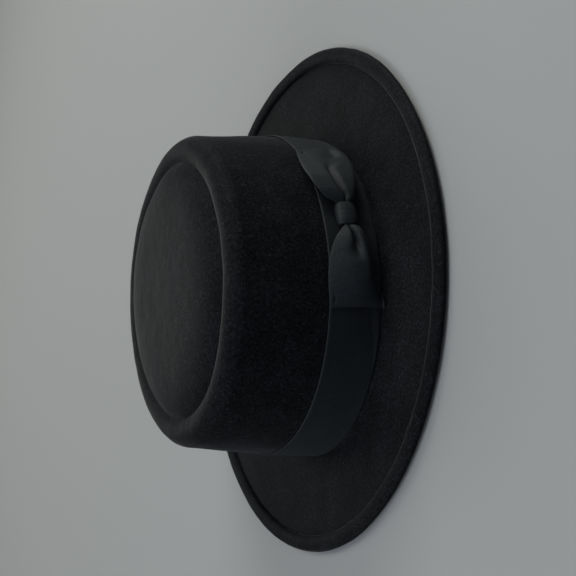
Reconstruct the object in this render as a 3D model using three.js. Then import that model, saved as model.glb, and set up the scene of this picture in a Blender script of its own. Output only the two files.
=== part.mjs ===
// Pork pie hat: a cap and brim pressed from one felt hood, with a ribbon band and a flat bow.
//
// Millimetres, +Z up. The origin lies on the surface that the hat rests on, under the middle
// of the brim. The wearer faces -Y, and the bow is on the wearer's left, at +X.

import * as THREE from "three";

// Felt, ribbon and the clearance between pieces that touch.
const FELT = 2.7;
const RIBBON = 1.0;
const GAP = 0.3;

// How finely the ovals and the bow are cut.
const OVAL_STEPS = 56;
const BOW_STEPS_ACROSS = 10;

// An oval section reaches `length` from its middle along Y and `width` along X. Its middle is
// moved by `shift` along Y, and `egg` makes it wider behind than in front.

// The raised middle of the crown: a flat-topped pillow of the full oval below, drawn only up
// to the share PILLOW_END of it, where the groove begins.
const PILLOW = { length: 83.5, width: 69.8, shift: -3.3, egg: 0.039, z: 78.0 };
const PILLOW_RISE = 16.8;
const PILLOW_SQUARENESS = 6;
const PILLOW_SHOULDER = 0.65;
const PILLOW_SHARES = [0.2, 0.4, 0.57, 0.7, 0.79, 0.85, 0.895];
const PILLOW_END = 0.925;

// The shallow groove round the pillow, from its flank to the inside of the rim.
const GROOVE = [
  { length: 78.2, width: 65.8, shift: -3.4, egg: 0.039, z: 86.0 },
  { length: 79.9, width: 67.7, shift: -3.5, egg: 0.039, z: 86.75 },
  { length: 81.35, width: 69.2, shift: -3.5, egg: 0.039, z: 87.45 },
  { length: 82.9, width: 70.85, shift: -3.5, egg: 0.039, z: 87.85 },
];

// The soft rim: the oval of its crest line, and the radius that it turns down with.
const RIM = { length: 84.5, width: 72.5, shift: -3.5, egg: 0.039, z: 88.0 };
const RIM_RADIUS = 9.2;
const RIM_STEPS = 4;

// The side of the crown, from under the rim down to the brim.
const CROWN_SIDE = [
  { length: 94.9, width: 82.9, shift: -3.0, egg: 0.036, z: 68.0 },
  { length: 96.3, width: 84.3, shift: -2.2, egg: 0.031, z: 56.0 },
  { length: 97.5, width: 85.4, shift: -1.2, egg: 0.025, z: 45.0 },
  { length: 98.3, width: 86.1, shift: -0.4, egg: 0.02, z: 36.0 },
  { length: 98.5, width: 86.4, shift: 0, egg: 0.018, z: 28.0 },
  { length: 98.6, width: 86.6, shift: 0, egg: 0.018, z: 12.0 },
  { length: 98.9, width: 86.8, shift: 0, egg: 0.018, z: 5.2 },
  { length: 99.3, width: 87.2, shift: 0, egg: 0.018, z: 4.0 },
  { length: 100.4, width: 88.3, shift: 0, egg: 0.017, z: 3.2 },
  { length: 103.5, width: 91.8, shift: 0, egg: 0.013, z: 2.8 },
];

// The flat brim's upper side, out to the crease where its edge is turned over.
const BRIM = [
  { length: 112, width: 102, shift: 0, egg: 0.008, z: FELT },
  { length: 142, width: 137.5, shift: 0, egg: 0, z: FELT },
];

// The edge: the felt is turned up over itself in a roll of this width and height.
const ROLL_WIDTH = 9.2;
const ROLL_HEIGHT = 3.1;
const ROLL_FULLNESS = 0.8;
const ROLL_STEPS = 7;
const ROLL_UNDERSIDE_WIDTH = 6.2;
const ROLL_UNDERSIDE_STEPS = 3;

// The ribbon band's edges, and the heights at which it is bent.
const BAND_HEIGHTS = [4.3, 5.2, 12.0, 28.0, 34.7];

// The bow's strip lies on the band. Each row is a line across it: `along` is the way along
// the band from +X towards the back at its top edge, and `slant` is how much further back its
// lower edge is. From its edge at the height `top`, which stands off the band by `edge`, it
// swells out to `bulge` at the height `turn`. Then it turns under to its other edge at the
// height `foot`, which stands off by `under`. `thick` is its thickness, more than one layer
// where it is gathered. A pleat takes the share `pleat` of its lift away, at the share `fold`
// of the way down.
const BOW_COLUMNS = [
  "along", "slant", "top", "turn", "foot", "edge", "bulge", "under", "thick", "pleat", "fold",
];
const BOW_ROWS = [
  [-75, 2, 35.2, 17.6, 4.4, 0.3, 2.5, 1.6, 1, 0, 0.55],
  [-70, 1.5, 36.1, 17.5, 5.8, 0.6, 5, 1.8, 1, 0, 0.55],
  [-63, 0.8, 36.7, 17.2, 9, 0.8, 7.2, 1.2, 1, 0, 0.55],
  [-55, 0.2, 36.4, 17, 12.2, 1, 8.2, 0.6, 1, 0.06, 0.55],
  [-47, 0, 35.1, 17.5, 13.5, 1.5, 8.3, 0.6, 1, 0.3, 0.57],
  [-39, 0, 31.8, 18.6, 14.8, 2.4, 7.4, 0.8, 1.2, 0.45, 0.56],
  [-34, 0, 28.2, 19.2, 16.4, 2.7, 5.8, 1.2, 1.5, 0.4, 0.45],
  [-31, 0, 25.4, 20.8, 19.6, 2.4, 2.6, 2.2, 1.8, 0, 0.4],
  [-24, 0, 25.6, 20.8, 19.6, 2.4, 2.6, 2.2, 1.8, 0, 0.4],
  [-17, 0, 25.8, 20.8, 19.6, 2.4, 2.6, 2.2, 1.8, 0, 0.4],
  [-14, 0, 34.2, 19.2, 15.9, 4, 5.7, 1.2, 1.3, 0.35, 0.55],
  [-10, 0, 37.8, 17.8, 14, 5, 7, 0.6, 1, 0.4, 0.48],
  [-3, 0.5, 40.4, 16, 11.6, 4.8, 7.4, 0.6, 1, 0.36, 0.42],
  [5, 1.6, 41, 14, 9.4, 3.2, 6.9, 0.6, 1, 0.22, 0.39],
  [14, 3.8, 40.2, 12.2, 7.8, 1.8, 5.1, 0.8, 1, 0.2, 0.5],
  [23, 6.6, 38.2, 11.9, 7.2, 0.7, 2.7, 0.9, 1, 0.45, 0.65],
  [30.5, 9.6, 36.2, 13, 7.6, 0.3, 0.4, 0.4, 1, 0, 0.68],
];
const BOW_SECTIONS = BOW_ROWS.map((row) => {
  const pairs = BOW_COLUMNS.map((name, column) => [name, row[column]]);
  return Object.fromEntries(pairs);
});
const BOW_TURN_SHARE = 0.72;
const BOW_PLEAT_WIDTH = 0.12;

// The knot: a short ribbon wound round the middle of the strip.
const KNOT = { from: -30.6, to: -17.4, bottom: 17.0, top: 28.6, depth: 6.6 };
const KNOT_WALL = 1.0;
const KNOT_SQUARENESS = 3;
const KNOT_STEPS = 20;
const KNOT_STEPS_ALONG = 4;

const FULL_TURN = 2 * Math.PI;

/** The point of an oval section at an angle from +X towards +Y. */
function ovalPoint(section, angle) {
  const across = section.width * Math.cos(angle) * (1 + section.egg * Math.sin(angle));
  return new THREE.Vector3(across, section.shift + section.length * Math.sin(angle), section.z);
}

/** The closed ring of points of an oval section. */
function ovalRing(section) {
  const ring = [];
  for (let step = 0; step < OVAL_STEPS; step += 1) {
    ring.push(ovalPoint(section, (FULL_TURN * step) / OVAL_STEPS));
  }
  return ring;
}

/** The section made larger by a distance all round. */
function grown(section, distance, z = section.z) {
  return { ...section, length: section.length + distance, width: section.width + distance, z };
}

/** The section between two others, at a share of the way from the first to the second. */
function between(first, second, share) {
  const section = {};
  for (const name of Object.keys(first)) {
    section[name] = THREE.MathUtils.lerp(first[name], second[name], share);
  }
  return section;
}

/** The section of the crown's side at a height. */
function crownSideAt(z) {
  const below = CROWN_SIDE.findIndex((section) => section.z <= z);
  const upper = CROWN_SIDE[below - 1];
  const lower = CROWN_SIDE[below];
  return between(upper, lower, (upper.z - z) / (upper.z - lower.z));
}

/** Rings turned into a closed solid, in order along the surface, with a fan over each end. */
function solidOfRings(rings, startPoint, endPoint) {
  const positions = [];
  for (const ring of rings) {
    for (const point of ring) {
      positions.push(point.x, point.y, point.z);
    }
  }
  const count = rings[0].length;
  const startIndex = rings.length * count;
  const endIndex = startIndex + 1;
  positions.push(startPoint.x, startPoint.y, startPoint.z);
  positions.push(endPoint.x, endPoint.y, endPoint.z);
  const indices = [];
  for (let step = 0; step < count; step += 1) {
    const next = (step + 1) % count;
    indices.push(startIndex, step, next);
    for (let row = 0; row < rings.length - 1; row += 1) {
      const here = row * count;
      const after = here + count;
      indices.push(here + step, after + step, after + next);
      indices.push(here + step, after + next, here + next);
    }
    const last = (rings.length - 1) * count;
    indices.push(endIndex, last + next, last + step);
  }
  return indexedGeometry(positions, indices);
}

/** Rings turned into a closed tube: the last ring joins the first. */
function tubeOfRings(rings) {
  const positions = [];
  for (const ring of rings) {
    for (const point of ring) {
      positions.push(point.x, point.y, point.z);
    }
  }
  const count = rings[0].length;
  const indices = [];
  for (let row = 0; row < rings.length; row += 1) {
    const here = row * count;
    const after = ((row + 1) % rings.length) * count;
    for (let step = 0; step < count; step += 1) {
      const next = (step + 1) % count;
      indices.push(here + step, after + step, after + next);
      indices.push(here + step, after + next, here + next);
    }
  }
  return indexedGeometry(positions, indices);
}

/** A geometry of shared vertices. */
function indexedGeometry(positions, indices) {
  const geometry = new THREE.BufferGeometry();
  geometry.setAttribute("position", new THREE.Float32BufferAttribute(positions, 3));
  geometry.setIndex(indices);
  geometry.computeVertexNormals();
  return geometry;
}

/** Rings moved into the felt by its thickness, each point along its own normal. */
function innerRings(rings) {
  const inner = [];
  for (let row = 1; row < rings.length - 1; row += 1) {
    const ring = rings[row].map((point, step) => {
      const before = rings[row][(step + OVAL_STEPS - 1) % OVAL_STEPS];
      const after = rings[row][(step + 1) % OVAL_STEPS];
      const round = after.clone().sub(before);
      const fromUpper = point.clone().sub(rings[row - 1][step]).normalize();
      const toLower = rings[row + 1][step].clone().sub(point).normalize();
      const inward = round.cross(fromUpper.add(toLower)).normalize();
      return point.clone().addScaledVector(inward, FELT);
    });
    inner.push(ring);
  }
  return inner;
}

/** The height of the pillow at a share of its full oval. */
function pillowHeight(share) {
  return PILLOW.z + PILLOW_RISE * (1 - share ** PILLOW_SQUARENESS) ** PILLOW_SHOULDER;
}

/** The pillow's sections, from near its middle out to the groove. */
function pillowSections() {
  return [...PILLOW_SHARES, PILLOW_END].map((share) => ({
    ...PILLOW,
    length: PILLOW.length * share,
    width: PILLOW.width * share,
    z: pillowHeight(share),
  }));
}

/** The rim's sections: a quarter turn from its crest out and down to its side. */
function rimSections() {
  const sections = [];
  for (let step = 0; step <= RIM_STEPS; step += 1) {
    const turn = (Math.PI / 2) * (step / RIM_STEPS);
    const height = RIM.z - RIM_RADIUS * (1 - Math.cos(turn));
    sections.push(grown(RIM, RIM_RADIUS * Math.sin(turn), height));
  }
  return sections;
}

/** The rolled edge's sections: over the top from the crease, then back under to the flat. */
function rollSections() {
  const crease = BRIM.at(-1);
  const sections = [];
  for (let step = 1; step <= ROLL_STEPS; step += 1) {
    const turn = (Math.PI * step) / ROLL_STEPS;
    const outward = (ROLL_WIDTH / 2) * (1 - Math.cos(turn));
    const height = ROLL_HEIGHT * Math.max(0, Math.sin(turn)) ** ROLL_FULLNESS;
    sections.push(grown(crease, outward, FELT + height));
  }
  for (let step = 1; step <= ROLL_UNDERSIDE_STEPS; step += 1) {
    const turn = (Math.PI / 2) * (step / ROLL_UNDERSIDE_STEPS);
    const inward = ROLL_UNDERSIDE_WIDTH * (1 - Math.cos(turn));
    sections.push(grown(crease, ROLL_WIDTH - inward, FELT * (1 - Math.sin(turn))));
  }
  return sections;
}

/** Crown and brim in one felt wall, with its rolled edge and its hollow for the head. */
function feltBody() {
  const crown = [...pillowSections(), ...GROOVE, ...rimSections(), ...CROWN_SIDE];
  const crownRings = crown.map(ovalRing);
  const edgeRings = rollSections().map(ovalRing);
  const brimRings = BRIM.map(ovalRing);
  const underside = BRIM.map((section) => ovalRing({ ...section, z: 0 })).reverse();
  const wall = [...crownRings, brimRings[0]];
  const top = new THREE.Vector3(0, PILLOW.shift, pillowHeight(0));
  const ceiling = top.clone().setZ(top.z - FELT);
  const firstInner = crownRings[0].map((point) => point.clone().setZ(point.z - FELT));
  const inside = [firstInner, ...innerRings(wall)].reverse();
  const rings = [...crownRings, ...brimRings, ...edgeRings, ...underside, ...inside];
  return solidOfRings(rings, top, ceiling);
}

/** The ribbon band: a thin wall that follows the crown's side just above the brim. */
function ribbonBand() {
  const outside = BAND_HEIGHTS.map((z) => ovalRing(grown(crownSideAt(z), GAP + RIBBON)));
  const inside = BAND_HEIGHTS.map((z) => ovalRing(grown(crownSideAt(z), GAP)));
  return tubeOfRings([...outside.reverse(), ...inside]);
}

// Places along the band are measured round this oval of its outer surface.
const BAND_OVAL = grown(crownSideAt(BAND_HEIGHTS[2]), GAP + RIBBON);
const ARC_STEP = 0.002;

/** The angle on the band's oval that is a distance along it from +X. */
function angleAlongBand(distance) {
  const direction = Math.sign(distance);
  let angle = 0;
  let travelled = 0;
  while (travelled < Math.abs(distance)) {
    const across = BAND_OVAL.width * Math.sin(angle);
    const lengthwise = BAND_OVAL.length * Math.cos(angle);
    travelled += Math.hypot(across, lengthwise) * ARC_STEP;
    angle += direction * ARC_STEP;
  }
  return angle;
}

/** The point over the band at a distance along it, a height, and a distance off it. */
function overBand(along, z, off) {
  const angle = angleAlongBand(along);
  const level = THREE.MathUtils.clamp(z, BAND_HEIGHTS[0], BAND_HEIGHTS.at(-1));
  const point = ovalPoint(grown(crownSideAt(level), GAP + RIBBON, z), angle);
  const outward = new THREE.Vector3(Math.cos(angle) / BAND_OVAL.width,
    Math.sin(angle) / BAND_OVAL.length, 0).normalize();
  return point.addScaledVector(outward, off);
}

/** The height of the middle of the strip's thickness, and its way off the band, at a share. */
function stripMiddle(section, share) {
  const over = Math.min(share / BOW_TURN_SHARE, 1);
  const turned = Math.max(share - BOW_TURN_SHARE, 0) / (1 - BOW_TURN_SHARE);
  const sink = Math.sin((Math.PI / 2) * turned);
  const stay = Math.cos((Math.PI / 2) * turned);
  const rise = Math.sin((Math.PI / 2) * over);
  const above = section.edge + (section.bulge - section.edge) * rise;
  const below = section.under + (section.bulge - section.under) * stay;
  const fromPleat = (share - section.fold) / BOW_PLEAT_WIDTH;
  const kept = 1 - section.pleat * Math.exp(-fromPleat * fromPleat);
  const lift = Math.max((turned > 0 ? below : above) * kept, GAP);
  const fallen = THREE.MathUtils.lerp(section.top, section.turn, over);
  return new THREE.Vector2(lift + section.thick / 2, fallen + (section.foot - section.turn) * sink);
}

/** The closed ring round the strip at one of its sections: its back, then its face. */
function stripRing(section) {
  const middle = [];
  for (let step = 0; step <= BOW_STEPS_ACROSS; step += 1) {
    middle.push(stripMiddle(section, step / BOW_STEPS_ACROSS));
  }
  const back = [];
  const front = [];
  middle.forEach((place, step) => {
    const before = middle[Math.max(step - 1, 0)];
    const after = middle[Math.min(step + 1, BOW_STEPS_ACROSS)];
    const down = after.clone().sub(before).normalize().multiplyScalar(section.thick / 2);
    const along = section.along + (section.slant * step) / BOW_STEPS_ACROSS;
    back.push(overBand(along, place.y - down.x, place.x + down.y));
    front.push(overBand(along, place.y + down.x, place.x - down.y));
  });
  return [...back, ...front.reverse()];
}

/** The bow's strip: both wings in one ribbon, gathered where the knot holds it. */
function bowStrip() {
  const rings = BOW_SECTIONS.map(stripRing);
  const first = rings[0].reduce((sum, point) => sum.add(point), new THREE.Vector3());
  const last = rings.at(-1).reduce((sum, point) => sum.add(point), new THREE.Vector3());
  const count = rings[0].length;
  return solidOfRings(rings, first.divideScalar(count), last.divideScalar(count));
}

/** The ring of the knot's section at a place along the band, a wall's thickness in or not. */
function knotRing(along, inset) {
  const middle = (KNOT.top + KNOT.bottom) / 2;
  const halfHeight = (KNOT.top - KNOT.bottom) / 2 - inset;
  const halfDepth = KNOT.depth / 2 - inset;
  const ring = [];
  for (let step = 0; step < KNOT_STEPS; step += 1) {
    const turn = (FULL_TURN * step) / KNOT_STEPS;
    const cosine = Math.cos(turn);
    const sine = Math.sin(turn);
    const power = Math.abs(cosine) ** KNOT_SQUARENESS + Math.abs(sine) ** KNOT_SQUARENESS;
    const reach = power ** (-1 / KNOT_SQUARENESS);
    const off = GAP + KNOT.depth / 2 + halfDepth * reach * sine;
    ring.push(overBand(along, middle - halfHeight * reach * cosine, off));
  }
  return ring;
}

/** The knot: a short sleeve of ribbon round the gathered middle of the strip. */
function bowKnot() {
  const outside = [];
  const inside = [];
  for (let step = 0; step <= KNOT_STEPS_ALONG; step += 1) {
    const along = THREE.MathUtils.lerp(KNOT.from, KNOT.to, step / KNOT_STEPS_ALONG);
    outside.push(knotRing(along, 0));
    inside.push(knotRing(along, KNOT_WALL));
  }
  return tubeOfRings([...outside, ...inside.reverse()]);
}

/** A named mesh with its own finish. */
function piece(name, geometry, color, roughness) {
  const material = new THREE.MeshStandardMaterial({ color, roughness, metalness: 0 });
  const mesh = new THREE.Mesh(geometry, material);
  mesh.name = name;
  return mesh;
}

const BLACK_FELT = 0x1b1c1e;
const BLACK_RIBBON = 0x15181c;

const group = new THREE.Group();
group.add(piece("felt_body", feltBody(), BLACK_FELT, 0.95));
group.add(piece("ribbon_band", ribbonBand(), BLACK_RIBBON, 0.7));
group.add(piece("bow_strip", bowStrip(), BLACK_RIBBON, 0.65));
group.add(piece("bow_knot", bowKnot(), BLACK_RIBBON, 0.65));

export default group;
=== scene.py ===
"""A black wool felt pork pie hat with a grosgrain band and a flat bow.

Shapes are worked out in millimetres and put into meshes in metres. +Z is up, the wearer faces
-Y, and the bow is on the wearer's left, at +X. The origin is on the surface that the hat rests
on, under the middle of its brim.
"""
import logging
import math
from dataclasses import astuple, dataclass, fields
from enum import Enum
from typing import Sequence

import bpy
import numpy as np
from mathutils import Matrix, Vector


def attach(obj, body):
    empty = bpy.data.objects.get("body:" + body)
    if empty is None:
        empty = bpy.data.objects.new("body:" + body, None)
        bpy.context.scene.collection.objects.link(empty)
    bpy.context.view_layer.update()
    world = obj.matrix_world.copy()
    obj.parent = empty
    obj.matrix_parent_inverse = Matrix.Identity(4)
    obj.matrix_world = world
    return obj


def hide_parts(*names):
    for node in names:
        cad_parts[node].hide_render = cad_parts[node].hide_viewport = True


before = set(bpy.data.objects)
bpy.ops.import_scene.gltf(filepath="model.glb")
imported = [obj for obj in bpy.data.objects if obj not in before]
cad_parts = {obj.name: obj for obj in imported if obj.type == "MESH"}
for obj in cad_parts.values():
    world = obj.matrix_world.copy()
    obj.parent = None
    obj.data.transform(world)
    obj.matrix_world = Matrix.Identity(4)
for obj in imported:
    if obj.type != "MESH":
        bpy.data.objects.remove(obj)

LOG = logging.getLogger("pork_pie_hat")
MM = 0.001
FULL_TURN = 2 * math.pi
HALF_TURN = math.pi
QUARTER_TURN = math.pi / 2
NO_LENGTH = 1e-12
UPWARDS = np.array([0, 0, 1.0])


# ---------------------------------------------------------------- numbers and curves

def linear(hex_colour: str) -> tuple[float, float, float, float]:
    """Turns an sRGB hex colour into a linear one.

    Each channel c in 0 to 1 becomes c / 12.92 up to 0.04045, and ((c + 0.055) / 1.055) to the
    power 2.4 above it.

    Args:
        hex_colour: Six hex digits after a hash sign.

    Returns:
        Linear red, green and blue, and an alpha of 1.
    """
    channels = [int(hex_colour[i:i + 2], 16) / 255 for i in (1, 3, 5)]
    red, green, blue = (
        c / 12.92 if c <= 0.04045 else ((c + 0.055) / 1.055) ** 2.4 for c in channels)
    return red, green, blue, 1.0


def smooth_between(stations: np.ndarray, values: np.ndarray, at: np.ndarray) -> np.ndarray:
    """Values between stations by a monotone cubic, which never swings past them.

    Each stretch is a Hermite cubic. Its slope at a station is the harmonic mean of the straight
    slopes on both sides, and zero where those two differ in sign.

    Args:
        stations: Rising places, n long.
        values: One row for each station, n by c.
        at: The places wanted, m long.

    Returns:
        The values there, m by c.
    """
    span = np.diff(stations)[:, None]
    straight = np.diff(values, axis=0) / span
    before, after = straight[:-1], straight[1:]
    same_way = before * after > 0
    total = np.where(same_way, before + after, 1.0)
    middle = np.where(same_way, 2 * before * after / total, 0.0)
    slopes = np.vstack([straight[:1], middle, straight[-1:]])
    cell = np.clip(np.searchsorted(stations, at, side="right") - 1, 0, len(stations) - 2)
    width = span[cell]
    share = (at[:, None] - stations[cell][:, None]) / width
    rest = 1 - share
    return ((1 + 2 * share) * rest ** 2 * values[cell] + share * rest ** 2 * width * slopes[cell]
            + share ** 2 * (3 - 2 * share) * values[cell + 1]
            - share ** 2 * rest * width * slopes[cell + 1])


def bell(distance: np.ndarray, width: float) -> np.ndarray:
    """A smooth hump: e to the power of minus (distance / width) squared."""
    return np.exp(-(distance / width) ** 2)


def ramp(value: np.ndarray, start: float, end: float) -> np.ndarray:
    """A smooth step from 0 at start to 1 at end: 3 s^2 - 2 s^3 of the share s between them."""
    share = np.clip((value - start) / (end - start), 0, 1)
    return share ** 2 * (3 - 2 * share)


def direction(azimuth: float, elevation: float) -> Vector:
    """The way from the hat to a place round it, as a vector of length 1.

    It is (sin a cos e, -cos a cos e, sin e) for the azimuth a and the elevation e.

    Args:
        azimuth: Degrees from the hat's front towards the wearer's left.
        elevation: Degrees up from level.

    Returns:
        The vector.
    """
    turn, rise = math.radians(azimuth), math.radians(elevation)
    return Vector((math.sin(turn) * math.cos(rise), -math.cos(turn) * math.cos(rise),
                   math.sin(rise)))


@dataclass(frozen=True)
class Swell:
    """Slow unevenness in space: a sum of plane waves with seeded directions and phases."""

    seed: int
    shortest: float
    longest: float
    height: float
    waves: int = 14

    def at(self, points: np.ndarray) -> np.ndarray:
        """The unevenness at points: the sum of height * sin(wave vector . point + phase).

        Args:
            points: Any array of points in millimetres, with x, y, z last.

        Returns:
            One height for each point, in millimetres.
        """
        draw = np.random.default_rng(self.seed)
        ways = draw.normal(size=(self.waves, 3))
        ways /= np.linalg.norm(ways, axis=1, keepdims=True)
        lengths = draw.uniform(self.shortest, self.longest, self.waves)
        phases = draw.uniform(0, FULL_TURN, self.waves)
        inner = points @ (ways * (FULL_TURN / lengths)[:, None]).T + phases
        return self.height * np.sin(inner).sum(axis=-1) / math.sqrt(self.waves)


# ---------------------------------------------------------------- meshes

def normals_of(grid: np.ndarray, closed_columns: bool = True) -> np.ndarray:
    """Unit normals of a grid of points: the cross product of its two central differences.

    Args:
        grid: Points, rows by columns by 3.
        closed_columns: Whether the last column meets the first.

    Returns:
        Normals of the same shape, to the side where (next row) x (next column) points.
    """
    if closed_columns:
        along = np.roll(grid, -1, axis=1) - np.roll(grid, 1, axis=1)
    else:
        along = np.gradient(grid, axis=1)
    down = np.gradient(grid, axis=0)
    normals = np.cross(down, along)
    return normals / np.maximum(np.linalg.norm(normals, axis=-1, keepdims=True), NO_LENGTH)


def grid_quads(rows: int, columns: int, wrap_rows: bool, wrap_columns: bool) -> np.ndarray:
    """The corner numbers of a grid's faces, which go down a column and then across.

    Args:
        rows: Rows of points.
        columns: Points in a row.
        wrap_rows: Whether the last row meets the first.
        wrap_columns: Whether the last column meets the first.

    Returns:
        One row of four point numbers for each face.
    """
    row, column = np.meshgrid(np.arange(rows if wrap_rows else rows - 1),
                              np.arange(columns if wrap_columns else columns - 1), indexing="ij")
    below, beside = (row + 1) % rows, (column + 1) % columns
    corners = [row * columns + column, below * columns + column,
               below * columns + beside, row * columns + beside]
    return np.stack([corner.ravel() for corner in corners], axis=1)


def fan(ring_start: int, columns: int, tip: int, tip_first: bool) -> np.ndarray:
    """The triangles from a ring of points to one tip.

    Args:
        ring_start: The number of the ring's first point.
        columns: Points in the ring.
        tip: The number of the tip.
        tip_first: True above the ring, and False below it, so that both face out.

    Returns:
        One row of three point numbers for each triangle.
    """
    here = ring_start + np.arange(columns)
    after = ring_start + (np.arange(columns) + 1) % columns
    tips = np.full(columns, tip)
    return np.stack([tips, here, after] if tip_first else [tips, after, here], axis=1)


@dataclass
class Shape:
    """A mesh being made: points in millimetres, faces, and the places on the cloth."""

    points: np.ndarray
    faces: list[np.ndarray]
    cloth: np.ndarray | None = None

    def to_object(self, name: str, material: bpy.types.Material) -> bpy.types.Object:
        """Puts the shape into a smooth-shaded mesh object at the origin.

        Args:
            name: The object's name.
            material: Its one material.

        Returns:
            The new object, linked to the scene.
        """
        mesh = bpy.data.meshes.new(name)
        faces = [face for block in self.faces for face in block.tolist()]
        mesh.from_pydata((self.points * MM).tolist(), [], faces)
        mesh.polygons.foreach_set("use_smooth", np.ones(len(mesh.polygons), dtype=bool))
        if self.cloth is not None:
            corners = np.empty(len(mesh.loops), dtype=np.int32)
            mesh.loops.foreach_get("vertex_index", corners)
            layer = mesh.uv_layers.new(name="cloth")
            layer.uv.foreach_set("vector", (self.cloth * MM)[corners].astype(np.float32).ravel())
        mesh.materials.append(material)
        mesh.validate()
        mesh.update()
        made = bpy.data.objects.new(name, mesh)
        bpy.context.scene.collection.objects.link(made)
        return made


# ---------------------------------------------------------------- finishes

# A Mix node has sockets of one name for each type. These are the numbers of its colour ones.
COLOUR_A, COLOUR_B, MIXED_COLOUR = 6, 7, 2


class Slot(Enum):
    """The record's material slots."""

    FELT = "black_wool_felt"
    RIBBON = "black_grosgrain"


def add_node(tree: bpy.types.NodeTree, kind: str, settings: dict | None = None,
             inputs: dict | None = None) -> bpy.types.Node:
    """Adds a node to a tree, with its settings, values and links.

    Args:
        tree: The node tree.
        kind: The node's type name.
        settings: Attributes of the node.
        inputs: A value, or another node's output socket, for each input's name or number.

    Returns:
        The new node.
    """
    node = tree.nodes.new(kind)
    for key, value in (settings or {}).items():
        setattr(node, key, value)
    for key, value in (inputs or {}).items():
        if isinstance(value, bpy.types.NodeSocket):
            tree.links.new(value, node.inputs[key])
        else:
            node.inputs[key].default_value = value
    return node


def empty_material(name: str) -> tuple[bpy.types.Material, bpy.types.NodeTree]:
    """Makes a material that has no nodes yet.

    Args:
        name: The material's name.

    Returns:
        The material and its node tree.
    """
    material = bpy.data.materials.new(name)
    material.use_nodes = True
    material.node_tree.nodes.clear()
    return material, material.node_tree


def set_stops(colours: bpy.types.ColorRamp, places: tuple[float, float, float],
              hexes: tuple[str, str, str]) -> None:
    """Gives a colour ramp its three stops.

    Args:
        colours: The colour ramp, as it comes, with a stop at each end.
        places: The places of the three stops, rising.
        hexes: Their colours, from dark to light.
    """
    dark, middle, light = (linear(colour) for colour in hexes)
    stops = colours.elements
    stops[0].position, stops[0].color = places[0], dark
    stops[1].position, stops[1].color = places[2], light
    stops.new(places[1]).color = middle


def grain_scale(width: float) -> float:
    """The scale of a noise texture whose grains are some millimetres wide: one over the width."""
    return 1 / (width * MM)


def band_scale(width: float) -> float:
    """The scale of a wave texture for bands of a width: at 1, a band is 2 pi / 20 wide."""
    return FULL_TURN / (20 * width * MM)


def fix_to_hat(piece: bpy.types.Object, node: str | None = None) -> None:
    """Fixes a piece to the hat's one body, in place of its plain solid if it has one.

    Args:
        piece: The finished piece.
        node: The plain solid that it stands for, or None for a small addition.
    """
    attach(piece, "root")
    if node:
        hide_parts(node)
    LOG.info("%s: %d faces", piece.name, len(piece.data.polygons))


@dataclass(frozen=True)
class WoolFelt:
    """Black wool felt, steamed, blocked and brushed.

    Matted fibres give a dull face with no gloss: clumps somewhat over a millimetre wide that
    differ in tone, curly fibres between them, and a short nap that lights up at grazing angles.
    A real fibre is a fiftieth of a millimetre thick and wouldn't show, so the curls are drawn
    about half a millimetre wide.
    """

    name: str = "wool_felt_blocked"
    colour: str = "#1c1d20"
    clump_colour: str = "#2d2f33"
    pit_colour: str = "#0f0f10"
    clump_mm: float = 1.4
    fibre_mm: float = 0.55
    patch_mm: float = 17.0
    clump_depth_mm: float = 0.22
    fibre_depth_mm: float = 0.1
    fibre_weight: float = 0.5
    patch_weight: float = 0.2
    stops: tuple[float, float, float] = (0.5, 0.69, 0.9)
    roughness: float = 0.6
    specular: float = 0.03
    sheen: float = 0.2
    sheen_roughness: float = 0.25

    def build(self) -> bpy.types.Material:
        """Makes the material from noise in Object coordinates.

        The tone is the clumps plus weighted fibres and patches, and three stops colour it.

        Returns:
            The material.
        """
        material, tree = empty_material(self.name)
        place = add_node(tree, "ShaderNodeTexCoord").outputs["Object"]
        clumps = add_node(tree, "ShaderNodeTexNoise", {"noise_type": "FBM"}, {
            "Vector": place, "Scale": grain_scale(self.clump_mm), "Detail": 4.0,
            "Roughness": 0.75, "Distortion": 0.3})
        fibres = add_node(tree, "ShaderNodeTexNoise", {"noise_type": "RIDGED_MULTIFRACTAL"}, {
            "Vector": place, "Scale": grain_scale(self.fibre_mm * 2), "Detail": 2.0,
            "Roughness": 0.5, "Distortion": 1.2})
        patches = add_node(tree, "ShaderNodeTexNoise", {}, {
            "Vector": place, "Scale": grain_scale(self.patch_mm), "Detail": 2.0})
        grain = add_node(tree, "ShaderNodeMath", {"operation": "MULTIPLY_ADD"}, {
            0: fibres.outputs["Fac"], 1: self.fibre_weight, 2: clumps.outputs["Fac"]})
        tone = add_node(tree, "ShaderNodeMath", {"operation": "MULTIPLY_ADD"}, {
            0: patches.outputs["Fac"], 1: self.patch_weight, 2: grain.outputs["Value"]})
        colour = add_node(tree, "ShaderNodeValToRGB", {}, {"Fac": tone.outputs["Value"]})
        set_stops(colour.color_ramp, self.stops,
                  (self.pit_colour, self.colour, self.clump_colour))
        clump_bump = add_node(tree, "ShaderNodeBump", {}, {
            "Height": clumps.outputs["Fac"], "Distance": self.clump_depth_mm * MM,
            "Strength": 1.0})
        fibre_bump = add_node(tree, "ShaderNodeBump", {}, {
            "Height": fibres.outputs["Fac"], "Distance": self.fibre_depth_mm * MM,
            "Strength": 1.0, "Normal": clump_bump.outputs["Normal"]})
        shader = add_node(tree, "ShaderNodeBsdfPrincipled", {}, {
            "Base Color": colour.outputs["Color"], "Roughness": self.roughness,
            "Specular IOR Level": self.specular, "Sheen Weight": self.sheen,
            "Sheen Roughness": self.sheen_roughness, "Normal": fibre_bump.outputs["Normal"]})
        add_node(tree, "ShaderNodeOutputMaterial", {}, {"Surface": shader.outputs["BSDF"]})
        return material


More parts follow.
